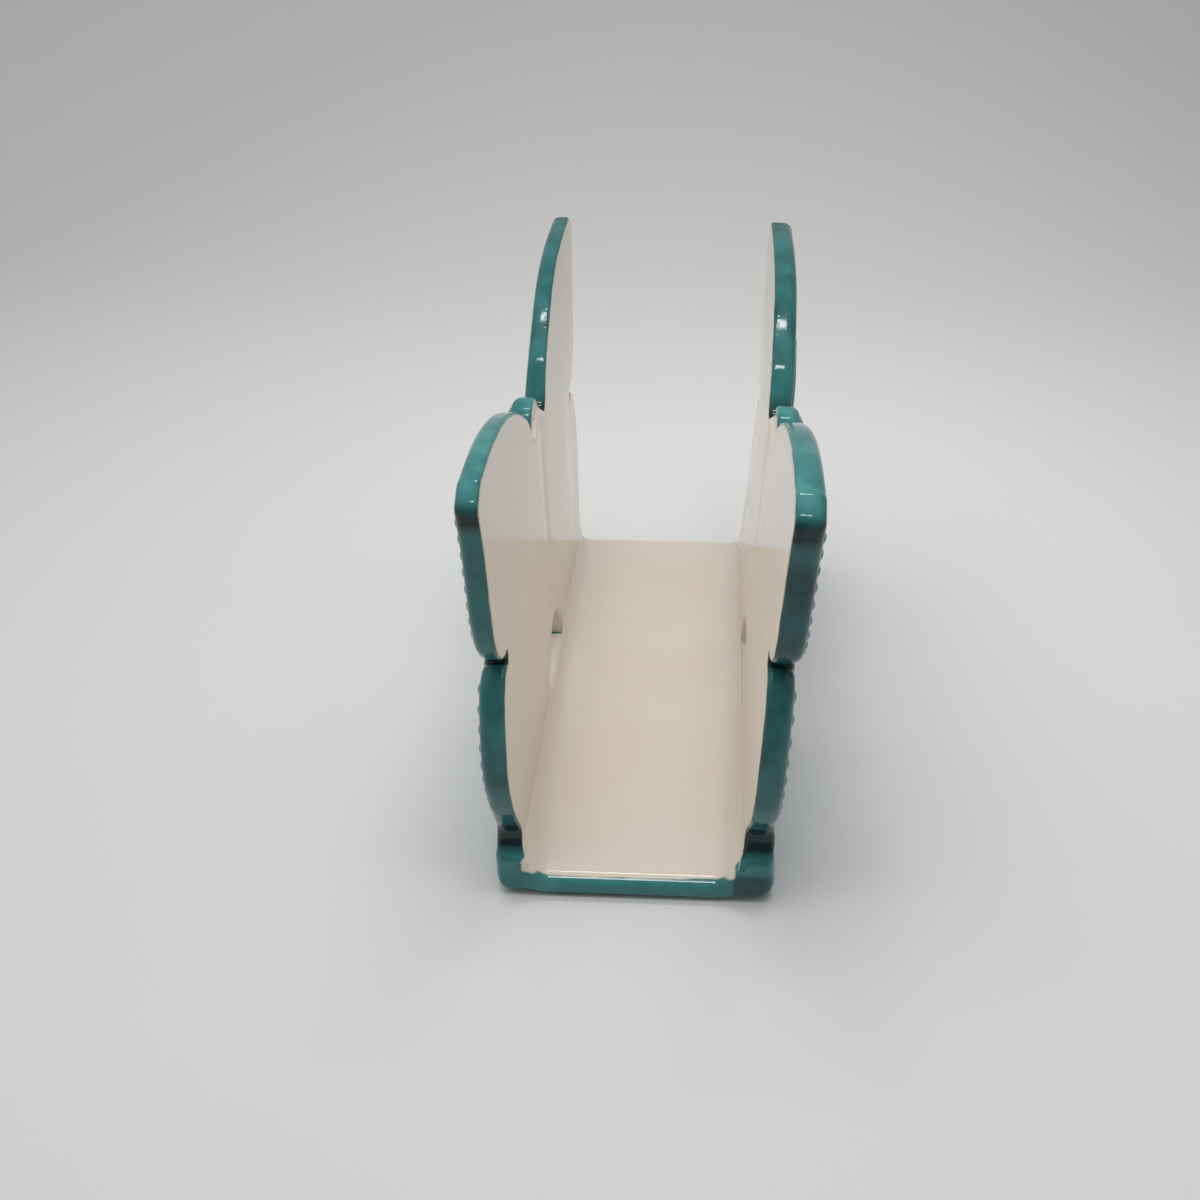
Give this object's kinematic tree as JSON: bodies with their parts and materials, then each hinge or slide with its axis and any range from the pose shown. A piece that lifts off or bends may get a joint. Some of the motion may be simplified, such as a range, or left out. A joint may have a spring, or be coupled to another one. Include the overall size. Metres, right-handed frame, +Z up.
{
  "type": "napkin holder",
  "caption": "Glazed earthenware napkin holder: two upright butterfly-shaped walls on a slab tray, open at the ends and the top, to hold folded napkins on edge.",
  "frame": {"origin": "middle of the foot ring's underside, where the holder stands on the table", "axes": "+X across the napkin gap towards the right wall, +Y along the base from the near end to the far end, +Z up"},
  "size_m": [0.0726, 0.165, 0.1115],
  "materials": {
    "ivory_glaze": "glossy ivory glaze with sparse brown specks",
    "teal_glaze": "glossy brushed teal glaze, thin on crests and dark where it pools",
    "bare_clay": "matt bare fired clay where the foot ring was wiped clean"
  },
  "bodies": {
    "root": {"base_tray": "ivory_glaze", "foot_ring": "bare_clay", "left_wall": "teal_glaze", "right_wall": "teal_glaze", "left_head": "teal_glaze", "right_head": "teal_glaze", "left_body": "teal_glaze", "right_body": "teal_glaze", "left_near_forewing_veins": "teal_glaze", "left_far_forewing_veins": "teal_glaze", "right_near_forewing_veins": "teal_glaze", "right_far_forewing_veins": "teal_glaze", "left_near_hindwing_veins": "teal_glaze", "left_far_hindwing_veins": "teal_glaze", "right_near_hindwing_veins": "teal_glaze", "right_far_hindwing_veins": "teal_glaze", "left_near_forewing_beads": "teal_glaze", "left_far_forewing_beads": "teal_glaze", "right_near_forewing_beads": "teal_glaze", "right_far_forewing_beads": "teal_glaze", "left_near_hindwing_beads": "teal_glaze", "left_far_hindwing_beads": "teal_glaze", "right_near_hindwing_beads": "teal_glaze", "right_far_hindwing_beads": "teal_glaze"}
  },
  "joints": []
}
